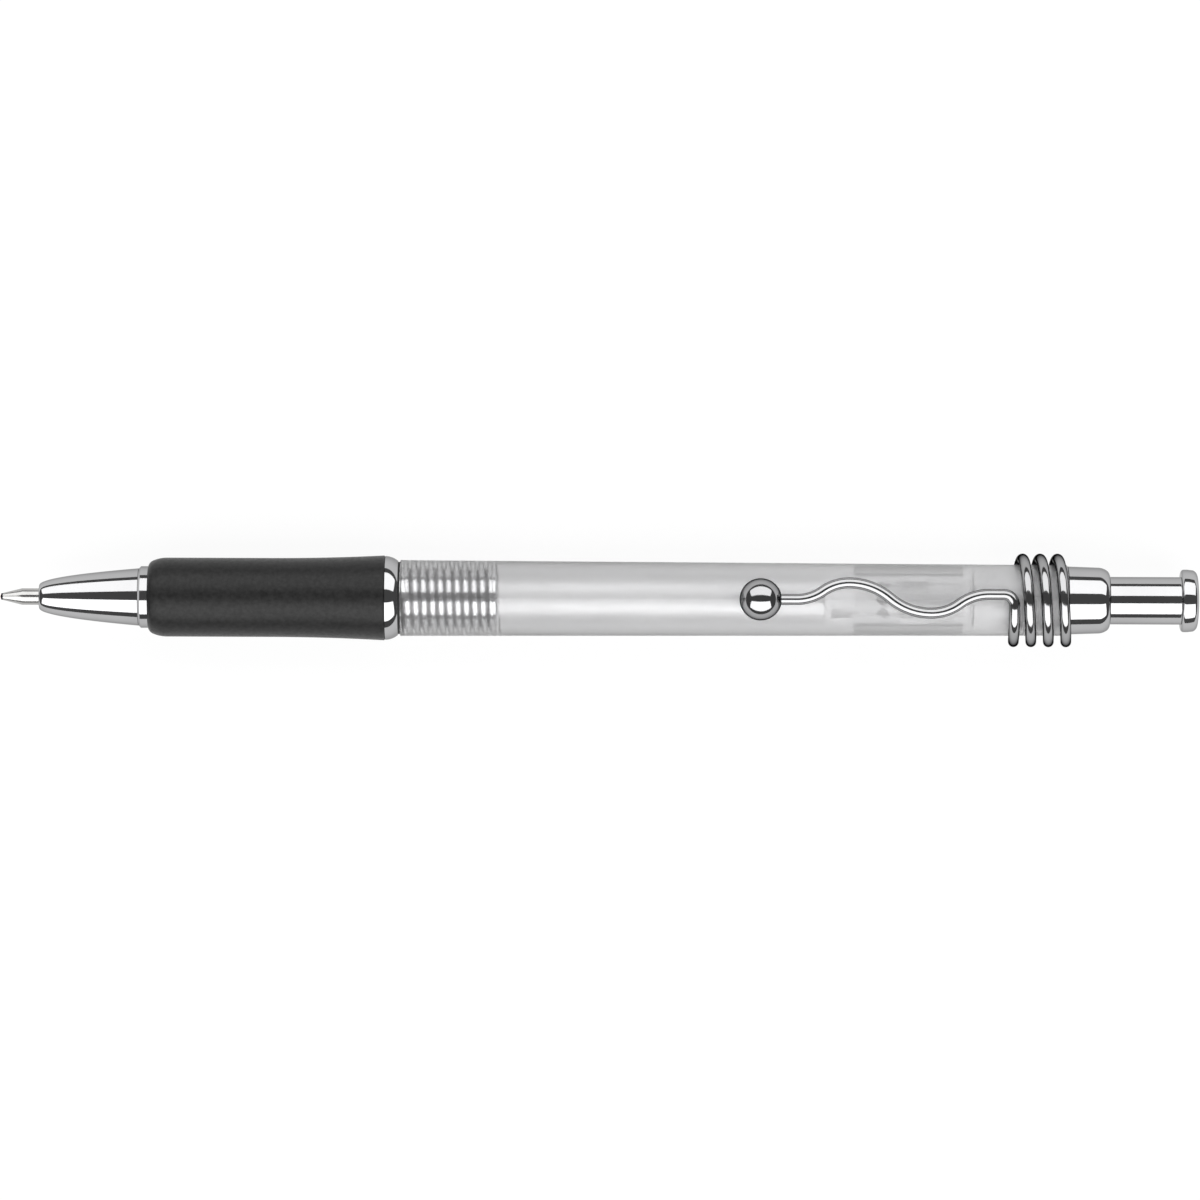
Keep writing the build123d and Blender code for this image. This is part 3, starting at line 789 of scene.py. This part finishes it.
@dataclass
class FrontSection:
    """Nose cone, grip core with its thread, rubber grip and trim ring, in millimetres."""

    nose_front: float = 4.65
    nose_rear: float = 16.53
    nose_front_radius: float = 1.38
    nose_rear_radius: float = 3.42
    nose_rear_edge: float = 0.06
    guide_radius: float = 1.1
    guide_edge: float = 0.12
    guide_end: float = 7.65
    neck_bore: float = 1.72
    spring_seat: float = 11.45
    spring_bore: float = 2.4
    spigot_radius: float = 3.03
    spigot_end: float = 20.0
    collar_radius: float = 3.68
    collar_edge: float = 0.24
    collar_end: float = 18.2
    core_bore: float = 3.06
    core_end: float = 59.32
    core_edge: float = 0.34
    thread_start: float = 48.02
    thread_radius: float = 3.42
    thread_pitch: float = 1.0
    thread_turns: float = 10.5
    thread_height: float = 0.3
    thread_end_round: float = 0.05
    grip_front: float = 17.65
    grip_rear: float = 45.8
    grip_bore: float = 3.7
    grip_edge_radius: float = 3.75
    grip_lead_mid: float = 18.25
    grip_lead_radius: float = 4.38
    grip_lead_bulges: tuple[float, float] = (0.106, 0.09)
    grip_lead_end: float = 19.95
    grip_radius: float = 4.7
    flare_start: float = 32.55
    flare_hollow: float = 0.085
    grip_rear_radius: float = 5.05
    grip_rear_edge: float = 0.1
    ring_radius: float = 5.0
    ring_edge: float = 0.06
    ring_rear: float = 47.37
    ring_rear_radius: float = 4.42
    ring_bulge: float = 0.14
    ring_bore: float = 3.46
    reveal_radius: float = 4.3
    reveal_end: float = 47.62

    def build(self) -> None:
        """Builds and dresses every piece of the section."""
        self.nose()
        self.collar()
        self.core()
        self.thread()
        self.grip()
        self.ring()
        self.reveal()

    def nose(self) -> None:
        """Makes the chromed nose cone with its guide bore and spring pocket."""
        lathe = Lathe(self.guide_end, self.guide_radius)
        lathe.line(self.nose_front + self.guide_edge, self.guide_radius)
        lathe.line(self.nose_front, self.guide_radius + self.guide_edge)
        lathe.line(self.nose_front, self.nose_front_radius)
        lathe.bow(self.nose_rear - self.nose_rear_edge, self.nose_rear_radius)
        lathe.line(self.nose_rear, self.nose_rear_radius - self.nose_rear_edge)
        lathe.line(self.nose_rear, self.spigot_radius)
        lathe.line(self.spigot_end, self.spigot_radius)
        lathe.line(self.spigot_end, self.spring_bore)
        lathe.line(self.spring_seat, self.spring_bore)
        lathe.line(self.spring_seat, self.neck_bore)
        lathe.line(self.guide_end, self.neck_bore)
        lathe.line(self.guide_end, self.guide_radius)
        piece = lathe.spin("nose_cone_skin")
        dress(piece, CHROME)
        seat(piece, Body.FRONT, "nose_cone")

    def collar(self) -> None:
        """Makes the chromed collar in front of the grip, which is the core's front end."""
        lathe = Lathe(self.nose_rear, self.core_bore)
        lathe.line(self.nose_rear, self.collar_radius - self.collar_edge)
        lathe.line(self.nose_rear + self.collar_edge, self.collar_radius)
        lathe.line(self.collar_end, self.collar_radius)
        lathe.line(self.collar_end, self.core_bore)
        lathe.line(self.nose_rear, self.core_bore)
        piece = lathe.spin("collar_skin")
        dress(piece, CHROME)
        seat(piece, Body.FRONT, "grip_core")

    def core(self) -> None:
        """Makes the core's tube under the grip and its spigot in the barrel."""
        lathe = Lathe(self.collar_end, self.core_bore)
        lathe.line(self.collar_end, self.collar_radius)
        lathe.line(self.grip_rear, self.collar_radius)
        lathe.line(self.grip_rear, self.thread_radius)
        lathe.line(self.core_end - self.core_edge, self.thread_radius)
        lathe.line(self.core_end, self.thread_radius - self.core_edge)
        lathe.line(self.core_end, self.core_bore)
        lathe.line(self.collar_end, self.core_bore)
        piece = lathe.spin("grip_core_skin")
        dress(piece, CORE_PLATE)
        seat(piece, Body.FRONT, "grip_core")

    def thread(self) -> None:
        """Winds the screw thread's ridge round the core's spigot."""
        rise = self.thread_pitch / (math.tau * self.thread_radius)
        start = AXIS.at(self.thread_start, 0.0, self.thread_radius)
        bender = WireBender(start, Vector((rise, -1.0, 0.0)), self.thread_height * 2, sides=4)
        bender.wind(self.thread_turns, self.thread_pitch)
        piece = bender.finish("core_thread_skin", self.thread_end_round)
        dress(piece, CHROME)
        seat(piece, Body.FRONT, "grip_core")

    def grip(self) -> None:
        """Makes the rubber sleeve with its rounded lead, straight middle and flared rear."""
        lathe = Lathe(self.grip_front, self.grip_bore)
        lathe.line(self.grip_front, self.grip_edge_radius)
        lathe.arc(self.grip_lead_mid, self.grip_lead_radius, self.grip_lead_bulges[0])
        lathe.arc(self.grip_lead_end, self.grip_radius, self.grip_lead_bulges[1])
        lathe.line(self.flare_start, self.grip_radius)
        lathe.arc(
            self.grip_rear - self.grip_rear_edge, self.grip_rear_radius, -self.flare_hollow,
            steps=24,
        )
        lathe.line(self.grip_rear, self.grip_rear_radius - self.grip_rear_edge)
        lathe.line(self.grip_rear, self.grip_bore)
        lathe.line(self.grip_front, self.grip_bore)
        piece = lathe.spin("rubber_grip_skin")
        dress(piece, RUBBER)
        seat(piece, Body.FRONT, "rubber_grip")

    def ring(self) -> None:
        """Makes the chromed trim ring with its round shoulder."""
        lathe = Lathe(self.grip_rear, self.ring_bore)
        lathe.line(self.grip_rear, self.ring_radius - self.ring_edge)
        lathe.line(self.grip_rear + self.ring_edge, self.ring_radius)
        lathe.arc(self.ring_rear, self.ring_rear_radius, self.ring_bulge, steps=18)
        lathe.line(self.ring_rear, self.ring_bore)
        lathe.line(self.grip_rear, self.ring_bore)
        piece = lathe.spin("trim_ring_skin")
        dress(piece, CHROME)
        seat(piece, Body.RING, "trim_ring")

    def reveal(self) -> None:
        """Makes the ring's step, coloured near-black as painted shade, so that it shows as a line
        before the barrel.
        """
        lathe = Lathe(self.ring_rear, self.ring_bore)
        lathe.line(self.ring_rear, self.reveal_radius)
        lathe.line(self.reveal_end, self.reveal_radius)
        lathe.line(self.reveal_end, self.ring_bore)
        lathe.line(self.ring_rear, self.ring_bore)
        piece = lathe.spin("trim_ring_step")
        # The step wears painted shade, not a colour of its own.
        dress(piece, PAINTED_SHADE_STEP)
        seat(piece, Body.RING, "trim_ring")


@dataclass
class RearEnd:
    """Frosted barrel, top cap and push button, in millimetres."""

    cap_front: float = 127.0
    cap_front_radius: float = 4.05
    cap_front_edge: float = 0.08
    shoulder_front: float = 130.6
    shoulder_radius: float = 3.93
    shoulder_mid: float = 131.63
    shoulder_mid_radius: float = 3.64
    shoulder_bulges: tuple[float, float] = (0.076, 0.1)
    cap_rear: float = 132.05
    cap_bore: float = 3.5
    lip_radius: float = 2.96
    lip_bore: float = 2.93
    lip_edge: float = 0.05
    lip_front: float = 130.57
    stem_front: float = 118.0
    stem_radius: float = 2.83
    stem_edge: float = 0.08
    stem_bore: float = 2.33
    bore_end: float = 138.75
    root_round: float = 0.12
    head_front: float = 140.5
    head_radius: float = 3.73
    head_front_round: float = 0.36
    head_waist: float = 141.25
    head_rim: float = 141.92
    head_rim_radius: float = 3.66
    head_rim_bulge: float = 0.19
    dome_front: float = 142.45
    dome_radius: float = 2.8
    dome_bulge: float = 0.06
    head_end: float = 142.7

    def build(self) -> None:
        """Builds and dresses every piece of the rear end."""
        dress_node("barrel", FROST)
        dress_node("guide_bush", NATURAL_PLASTIC)
        self.cap()
        self.button()

    def cap(self) -> None:
        """Makes the chromed top cap with its round shoulder."""
        lathe = Lathe(self.cap_front, self.cap_bore)
        lathe.line(self.cap_front, self.cap_front_radius - self.cap_front_edge)
        lathe.line(self.cap_front + self.cap_front_edge, self.cap_front_radius)
        lathe.line(self.shoulder_front, self.shoulder_radius)
        lathe.arc(self.shoulder_mid, self.shoulder_mid_radius, self.shoulder_bulges[0])
        lathe.arc(self.cap_rear, self.lip_radius, self.shoulder_bulges[1])
        lathe.line(self.cap_rear - self.lip_edge, self.lip_bore)
        lathe.line(self.lip_front, self.lip_bore)
        lathe.line(self.lip_front, self.cap_bore)
        lathe.line(self.cap_front, self.cap_bore)
        piece = lathe.spin("top_cap_skin")
        dress(piece, CHROME)
        seat(piece, Body.BARREL, "top_cap")

    def button(self) -> None:
        """Makes the push button: hollow stem, flanged head and low dome."""
        corner = 1 - math.sqrt(0.5)
        lathe = Lathe(self.bore_end, 0.0)
        lathe.line(self.bore_end, self.stem_bore)
        lathe.line(self.stem_front, self.stem_bore)
        lathe.line(self.stem_front, self.stem_radius - self.stem_edge)
        lathe.line(self.stem_front + self.stem_edge, self.stem_radius)
        lathe.line(self.head_front - self.root_round, self.stem_radius)
        lathe.arc(
            self.head_front, self.stem_radius + self.root_round, -self.root_round * corner, steps=5
        )
        lathe.line(self.head_front, self.head_radius - self.head_front_round)
        lathe.arc(
            self.head_front + self.head_front_round, self.head_radius,
            self.head_front_round * corner,
        )
        lathe.line(self.head_waist, self.head_radius)
        lathe.line(self.head_rim, self.head_rim_radius)
        lathe.arc(self.dome_front, self.dome_radius, self.head_rim_bulge, steps=14)
        lathe.arc(self.head_end, 0.0, self.dome_bulge, steps=16)
        piece = lathe.spin("push_button_skin", smooth_to=24.0)
        dress(piece, CHROME)
        seat(piece, Body.BUTTON, "push_button")


@dataclass
class WireClip:
    """Chromed wire clip: ball, waved arm, elbow and coil, in millimetres."""

    wire: float = 1.31
    coil_radius: float = 4.925
    coil_pitch: float = 2.08
    coil_turns: float = 3.25
    coil_station: float = 120.62
    elbow_lead: float = 0.15
    elbow_radius: float = 1.3
    arm_side: float = 0.68
    wave: tuple[tuple[float, float], ...] = (
        (24.6, 0.0), (18.4, -1.98), (8.65, 1.57), (1.8, -0.68),
    )
    elbow_steps: int = 16
    end_round: float = 0.18
    root_bend: tuple[float, float] = (0.2, 4.5)
    ball_reach: float = 28.87
    ball_radius: float = 2.5
    ball_socket: float = 1.6
    ball_cells: tuple[int, int] = (96, 64)
    hole_gap: float = 0.1
    hole_depth: float = 1.4
    countersink: float = 0.08
    countersink_depth: float = 0.1
    ball_height: float = field(init=False)
    slope: float = field(init=False)

    def __post_init__(self) -> None:
        """Reads the ball's height off its solid and works out the arm's slope."""
        low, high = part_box("clip_ball")
        self.ball_height = ((low.z + high.z) / 2 - AXIS.height) / MM
        rise = self.ball_height - self.coil_radius
        self.slope = math.asin(rise / (self.ball_reach + self.elbow_radius))

    def on_arm(self, reach: float, side: float) -> Vector:
        """Gives a point of the arm's rising plane.

        Args:
            reach: Distance from the elbow towards the ball.
            side: Offset to -Y.

        Returns:
            The point in the shared frame.
        """
        station = self.coil_station - self.elbow_lead - self.elbow_radius
        rise = (reach + self.elbow_radius) * math.sin(self.slope)
        return AXIS.at(station - reach * math.cos(self.slope), -side, self.coil_radius + rise)

    def build(self) -> None:
        """Builds and dresses the wire and its ball."""
        self.bent_wire()
        self.ball()

    def bent_wire(self) -> None:
        """Makes the whole wire from the ball's socket to the coil's far end."""
        back = Vector((math.cos(self.slope), 0.0, -math.sin(self.slope)))
        bender = WireBender(
            self.on_arm(self.ball_reach - self.ball_radius + self.ball_socket, 0.0), back, self.wire
        )
        bender.run(self.on_arm(*self.wave[0]))
        for here, there in zip(self.wave, self.wave[1:]):
            first, last = self.on_arm(*here), self.on_arm(*there)
            bender.bend_to((first + last) / 2).bend_to(last)
        bender.run(self.on_arm(0.0, -self.arm_side))
        elbow = self.on_arm(-self.elbow_radius, self.elbow_radius - self.arm_side)
        bender.bend_to(elbow, self.elbow_steps)
        rise = self.coil_pitch / (math.tau * self.coil_radius)
        lead = Vector((rise, 0.0, -1.0)).normalized()
        bender.ease_to(AXIS.at(self.coil_station, -self.coil_radius, 0.0), lead)
        bender.wind(self.coil_turns, self.coil_pitch)
        piece = bender.finish("clip_wire", self.end_round)
        dress(piece, WIRE_CHROME)
        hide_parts("clip_coil", "clip_arm")
        start, end = (self.on_arm(reach, -self.arm_side) for reach in self.root_bend)
        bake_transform(piece)
        LOG.info("piece %s bends between barrel and clip", piece.name)

    def ball(self) -> None:
        """Makes the polished ball with the countersunk hole that the wire goes into."""
        ahead = Vector((-math.cos(self.slope), 0.0, math.sin(self.slope)))
        centre = self.on_arm(self.ball_reach, 0.0)
        bm = bmesh.new()
        stand = Matrix.Translation(centre) @ (-ahead).to_track_quat("Z", "Y").to_matrix().to_4x4()
        round_cells, long_cells = self.ball_cells
        bmesh.ops.create_uvsphere(
            bm, u_segments=round_cells, v_segments=long_cells, radius=self.ball_radius * MM,
            matrix=stand,
        )
        mouth = self.wire / 2 + self.hole_gap
        reach = math.sqrt(self.ball_radius**2 - mouth**2)
        cut = bmesh.ops.bisect_plane(
            bm, geom=list(bm.verts) + list(bm.edges) + list(bm.faces),
            plane_co=centre - ahead * reach * MM, plane_no=-ahead, clear_outer=True,
        )
        rim = [x for x in cut["geom_cut"] if isinstance(x, bmesh.types.BMEdge)]
        inward = ((1 - self.countersink / mouth, self.countersink_depth), (1.0, self.hole_depth))
        for shrink, depth in inward:
            made = bmesh.ops.extrude_edge_only(bm, edges=rim)["geom"]
            points = [x for x in made if isinstance(x, bmesh.types.BMVert)]
            middle = sum((v.co for v in points), Vector()) / len(points)
            bmesh.ops.scale(
                bm, verts=points, vec=(shrink, shrink, shrink), space=Matrix.Translation(-middle)
            )
            bmesh.ops.translate(bm, verts=points, vec=ahead * depth * MM)
            rim = [
                x for x in made
                if isinstance(x, bmesh.types.BMEdge) and all(v in points for v in x.verts)
            ]
        bmesh.ops.contextual_create(bm, geom=rim)
        piece = piece_from(bm, "clip_ball_skin")
        dress(piece, WIRE_CHROME)
        seat(piece, Body.CLIP, "clip_ball")


@dataclass(frozen=True)
class ReturnSpring:
    """Wound spring on the refill's neck, in millimetres."""

    wire: float = 0.36
    radius: float = 2.06
    turns: int = 8
    sides: int = 16
    steps: int = 48
    end_round: float = 0.06

    def build(self) -> None:
        """Winds the spring between the ends of its solid, with its rear end on the refill."""
        low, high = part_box("return_spring")
        front = (low.x - AXIS.tip) / MM + self.wire / 2
        rear = (high.x - AXIS.tip) / MM - self.wire / 2
        pitch = (rear - front) / self.turns
        lead = Vector((pitch / (math.tau * self.radius), -1.0, 0.0))
        bender = WireBender(AXIS.at(front, 0.0, self.radius), lead, self.wire, self.sides)
        bender.wind(self.turns, pitch, self.steps)
        piece = bender.finish("return_spring_wire", self.end_round)
        dress(piece, SPRING_STEEL)
        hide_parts("return_spring")
        AXIS.at(front)
        AXIS.at(rear)
        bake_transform(piece)
        LOG.info("piece %s stretches between barrel and refill", piece.name)


@dataclass(frozen=True)
class Works:
    """Refill and click mechanism: solids that keep their shape and take a finish."""

    finishes: tuple[tuple[str, Finish], ...] = (
        ("writing_ball", BALL_METAL),
        ("refill_tip", TIP_METAL),
        ("refill_tube", REFILL_METAL),
        ("ink_column", INK),
        ("refill_plug", REFILL_METAL),
        ("cam_rotor", WHITE_PLASTIC),
        ("cam_plunger", NATURAL_PLASTIC),
    )

    def build(self) -> None:
        """Dresses every solid."""
        for node, finish in self.finishes:
            dress_node(node, finish)


@dataclass(frozen=True)
class Softbox:
    """A long studio lamp beside the pen."""

    name: str
    lean: float
    distance: float
    length: float
    width: float
    radiance: float

    def build(self) -> None:
        """Hangs the lamp, facing the pen, leaning from straight above towards +Y."""
        lamp = bpy.data.lights.new(self.name, "AREA")
        lamp.shape = "RECTANGLE"
        lamp.size, lamp.size_y = self.length, self.width
        lamp.energy = self.radiance * math.pi * self.length * self.width
        made = bpy.data.objects.new(self.name, lamp)
        lean = math.radians(self.lean)
        made.location = (0.0, math.sin(lean) * self.distance, math.cos(lean) * self.distance)
        made.rotation_euler = (-lean, 0.0, 0.0)
        bpy.context.scene.collection.objects.link(made)


@dataclass
class Studio:
    """Pale floor, soft lamps, dim room and the camera straight above."""

    lamps: tuple[Softbox, ...] = (
        Softbox("lamp_far", 48.5, 0.45, 1.2, 0.42, 2.05),
        Softbox("lamp_near", -40.0, 0.45, 1.2, 0.46, 2.7),
    )
    floor_side: float = 6.0
    floor_cells: int = 8
    room_tone: float = 0.11
    frame_width: float = 142.86
    sensor_width: float = 36.0
    clip_range: tuple[float, float] = (0.05, 20.0)
    camera_distance: float = 0.8
    camera_offset: tuple[float, float] = (0.045, -0.153)
    camera_roll: float = 0.218

    def build(self) -> None:
        """Sets up the whole studio."""
        self.floor()
        for lamp in self.lamps:
            lamp.build()
        self.room()
        self.camera()
        bpy.context.scene.view_settings.view_transform = "Standard"

    def floor(self) -> None:
        """Lays the pale floor under the pen."""
        bm = bmesh.new()
        bmesh.ops.create_grid(
            bm, x_segments=self.floor_cells, y_segments=self.floor_cells, size=self.floor_side / 2
        )
        floor = piece_from(bm, "studio_floor")
        floor.data.materials.append(FLOOR_PAPER.material())

    def room(self) -> None:
        """Fills the room round the lamps with a dim grey."""
        world = bpy.data.worlds.new("studio_room")
        world.use_nodes = True
        sheet = NodeSheet(world.node_tree)
        out = sheet.add("ShaderNodeOutputWorld")
        tone = self.room_tone
        glow = sheet.add("ShaderNodeBackground", Color=(tone, tone, tone, 1.0), Strength=1.0)
        sheet.join(glow.outputs["Background"], out.inputs["Surface"])
        bpy.context.scene.world = world

    def camera(self) -> None:
        """Sets the camera straight above the pen, as the photo was taken."""
        lens = bpy.data.cameras.new("camera")
        lens.sensor_width = self.sensor_width
        lens.lens = self.sensor_width * self.camera_distance / (self.frame_width * MM)
        lens.clip_start, lens.clip_end = self.clip_range
        made = bpy.data.objects.new("camera", lens)
        across, up = self.camera_offset
        made.location = (across * MM, up * MM, AXIS.height + self.camera_distance)
        made.rotation_euler = (0.0, 0.0, math.radians(self.camera_roll))
        bpy.context.scene.collection.objects.link(made)
        bpy.context.scene.camera = made


def main() -> None:
    """Builds the pen's sub-assemblies and the studio in order."""
    logging.basicConfig(level=logging.INFO, format="%(name)s: %(message)s")
    for assembly in (FrontSection(), RearEnd(), WireClip(), ReturnSpring(), Works(), Studio()):
        assembly.build()
        LOG.info("%s is done", type(assembly).__name__)


if __name__ == "__main__":
    main()
